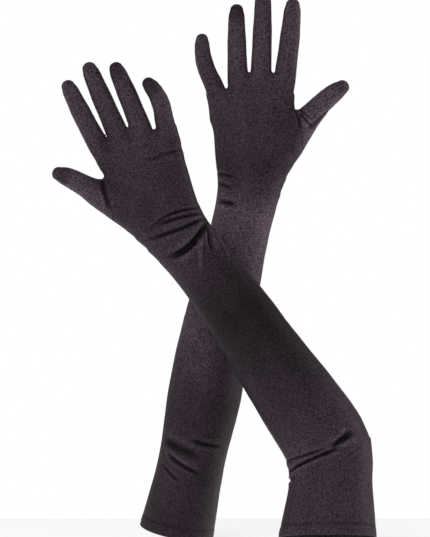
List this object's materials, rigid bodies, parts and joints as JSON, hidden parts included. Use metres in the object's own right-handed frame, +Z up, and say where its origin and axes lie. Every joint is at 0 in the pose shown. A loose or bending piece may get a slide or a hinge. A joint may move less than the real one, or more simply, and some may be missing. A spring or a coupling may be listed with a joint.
{
  "type": "pair of opera gloves",
  "caption": "Pair of over-the-elbow satin dress gloves with fitted fingers, sewn-in thumbs and turned hems, worn-shaped and crossed at the forearms.",
  "frame": {"origin": "on the floor plane under the middle of the pair's bounding box, both hems down", "axes": "+Z up along the raised arms, -Y the side both palms face, +X towards the left glove's elbow"},
  "size_m": [0.3364, 0.1678, 0.5561],
  "materials": {
    "satin": "satin",
    "thread": "matte"
  },
  "bodies": {
    "left_upper": {"left_upper_sleeve": "satin", "left_upper_side_seam": "thread", "left_hem_band": "satin", "left_hem_stitches": "thread"},
    "left_forearm": {"left_forearm_sleeve": "satin", "left_forearm_side_seam": "thread"},
    "left_palm": {"left_hand": "satin", "left_hand_side_seam": "thread", "left_thumb_seam": "thread"},
    "left_thumb": {"left_thumb": "satin"},
    "left_index": {"left_index_finger": "satin", "left_index_fourchette_middle_side": "satin"},
    "left_middle": {"left_middle_finger": "satin", "left_middle_fourchette_index_side": "satin", "left_middle_fourchette_ring_side": "satin"},
    "left_ring": {"left_ring_finger": "satin", "left_ring_fourchette_middle_side": "satin", "left_ring_fourchette_little_side": "satin"},
    "left_little": {"left_little_finger": "satin", "left_little_fourchette_ring_side": "satin"},
    "right_upper": {"right_upper_sleeve": "satin", "right_upper_side_seam": "thread", "right_hem_band": "satin", "right_hem_stitches": "thread"},
    "right_forearm": {"right_forearm_sleeve": "satin", "right_forearm_side_seam": "thread"},
    "right_palm": {"right_hand": "satin", "right_hand_side_seam": "thread", "right_thumb_seam": "thread"},
    "right_thumb": {"right_thumb": "satin"},
    "right_index": {"right_index_finger": "satin", "right_index_fourchette_middle_side": "satin"},
    "right_middle": {"right_middle_finger": "satin", "right_middle_fourchette_index_side": "satin", "right_middle_fourchette_ring_side": "satin"},
    "right_ring": {"right_ring_finger": "satin", "right_ring_fourchette_middle_side": "satin", "right_ring_fourchette_little_side": "satin"},
    "right_little": {"right_little_finger": "satin", "right_little_fourchette_ring_side": "satin"}
  },
  "joints": [
    {"name": "left_glove_apart", "type": "slide", "parent": "right_upper", "child": "left_upper", "axis": [0, -1, 0], "range_m": [0, 0.2]},
    {"name": "left_elbow", "type": "hinge", "parent": "left_upper", "child": "left_forearm", "pos_m": [0.11945, -0.0367, 0.09292], "axis": [0, -1, 0], "range_deg": [-35, 12]},
    {"name": "left_wrist", "type": "hinge", "parent": "left_forearm", "child": "left_palm", "pos_m": [-0.03386, -0.0367, 0.30785], "axis": [0.8572, 0, 0.515], "range_deg": [-60, 60]},
    {"name": "left_thumb_base", "type": "hinge", "parent": "left_palm", "child": "left_thumb", "pos_m": [-0.11386, -0.0367, 0.34617], "axis": [0.3987, 0, 0.9171], "range_deg": [-30, 35]},
    {"name": "left_index_knuckle", "type": "hinge", "parent": "left_palm", "child": "left_index", "pos_m": [-0.11425, -0.0367, 0.39962], "axis": [0.8949, 0, 0.4462], "range_deg": [-35, 65]},
    {"name": "left_middle_knuckle", "type": "hinge", "parent": "left_palm", "child": "left_middle", "pos_m": [-0.09456, -0.0367, 0.41055], "axis": [0.9171, 0, 0.3987], "range_deg": [-35, 65]},
    {"name": "left_ring_knuckle", "type": "hinge", "parent": "left_palm", "child": "left_ring", "pos_m": [-0.0713, -0.0367, 0.41544], "axis": [0.9205, 0, 0.3907], "range_deg": [-35, 65]},
    {"name": "left_little_knuckle", "type": "hinge", "parent": "left_palm", "child": "left_little", "pos_m": [-0.04715, -0.0367, 0.41519], "axis": [0.9239, 0, 0.3827], "range_deg": [-35, 65]},
    {"name": "right_elbow", "type": "hinge", "parent": "right_upper", "child": "right_forearm", "pos_m": [-0.01755, 0.0253, 0.09292], "axis": [0, -1, 0], "range_deg": [-6, 60]},
    {"name": "right_wrist", "type": "hinge", "parent": "right_forearm", "child": "right_palm", "pos_m": [0.03734, 0.0253, 0.35115], "axis": [0.9925, 0, -0.1219], "range_deg": [-60, 60]},
    {"name": "right_thumb_base", "type": "hinge", "parent": "right_palm", "child": "right_thumb", "pos_m": [0.09425, 0.0253, 0.41921], "axis": [0.682, 0, -0.7314], "range_deg": [-5, 60]},
    {"name": "right_index_knuckle", "type": "hinge", "parent": "right_palm", "child": "right_index", "pos_m": [0.07244, 0.0253, 0.468], "axis": [0.9962, 0, -0.0872], "range_deg": [-10, 90]},
    {"name": "right_middle_knuckle", "type": "hinge", "parent": "right_palm", "child": "right_middle", "pos_m": [0.04999, 0.0253, 0.46978], "axis": [0.9997, 0, -0.0262], "range_deg": [-10, 90]},
    {"name": "right_ring_knuckle", "type": "hinge", "parent": "right_palm", "child": "right_ring", "pos_m": [0.02679, 0.0253, 0.46459], "axis": [1, 0, 0.0087], "range_deg": [-10, 90]},
    {"name": "right_little_knuckle", "type": "hinge", "parent": "right_palm", "child": "right_little", "pos_m": [0.00492, 0.0253, 0.45434], "axis": [0.9744, 0, 0.225], "range_deg": [-10, 90]}
  ]
}
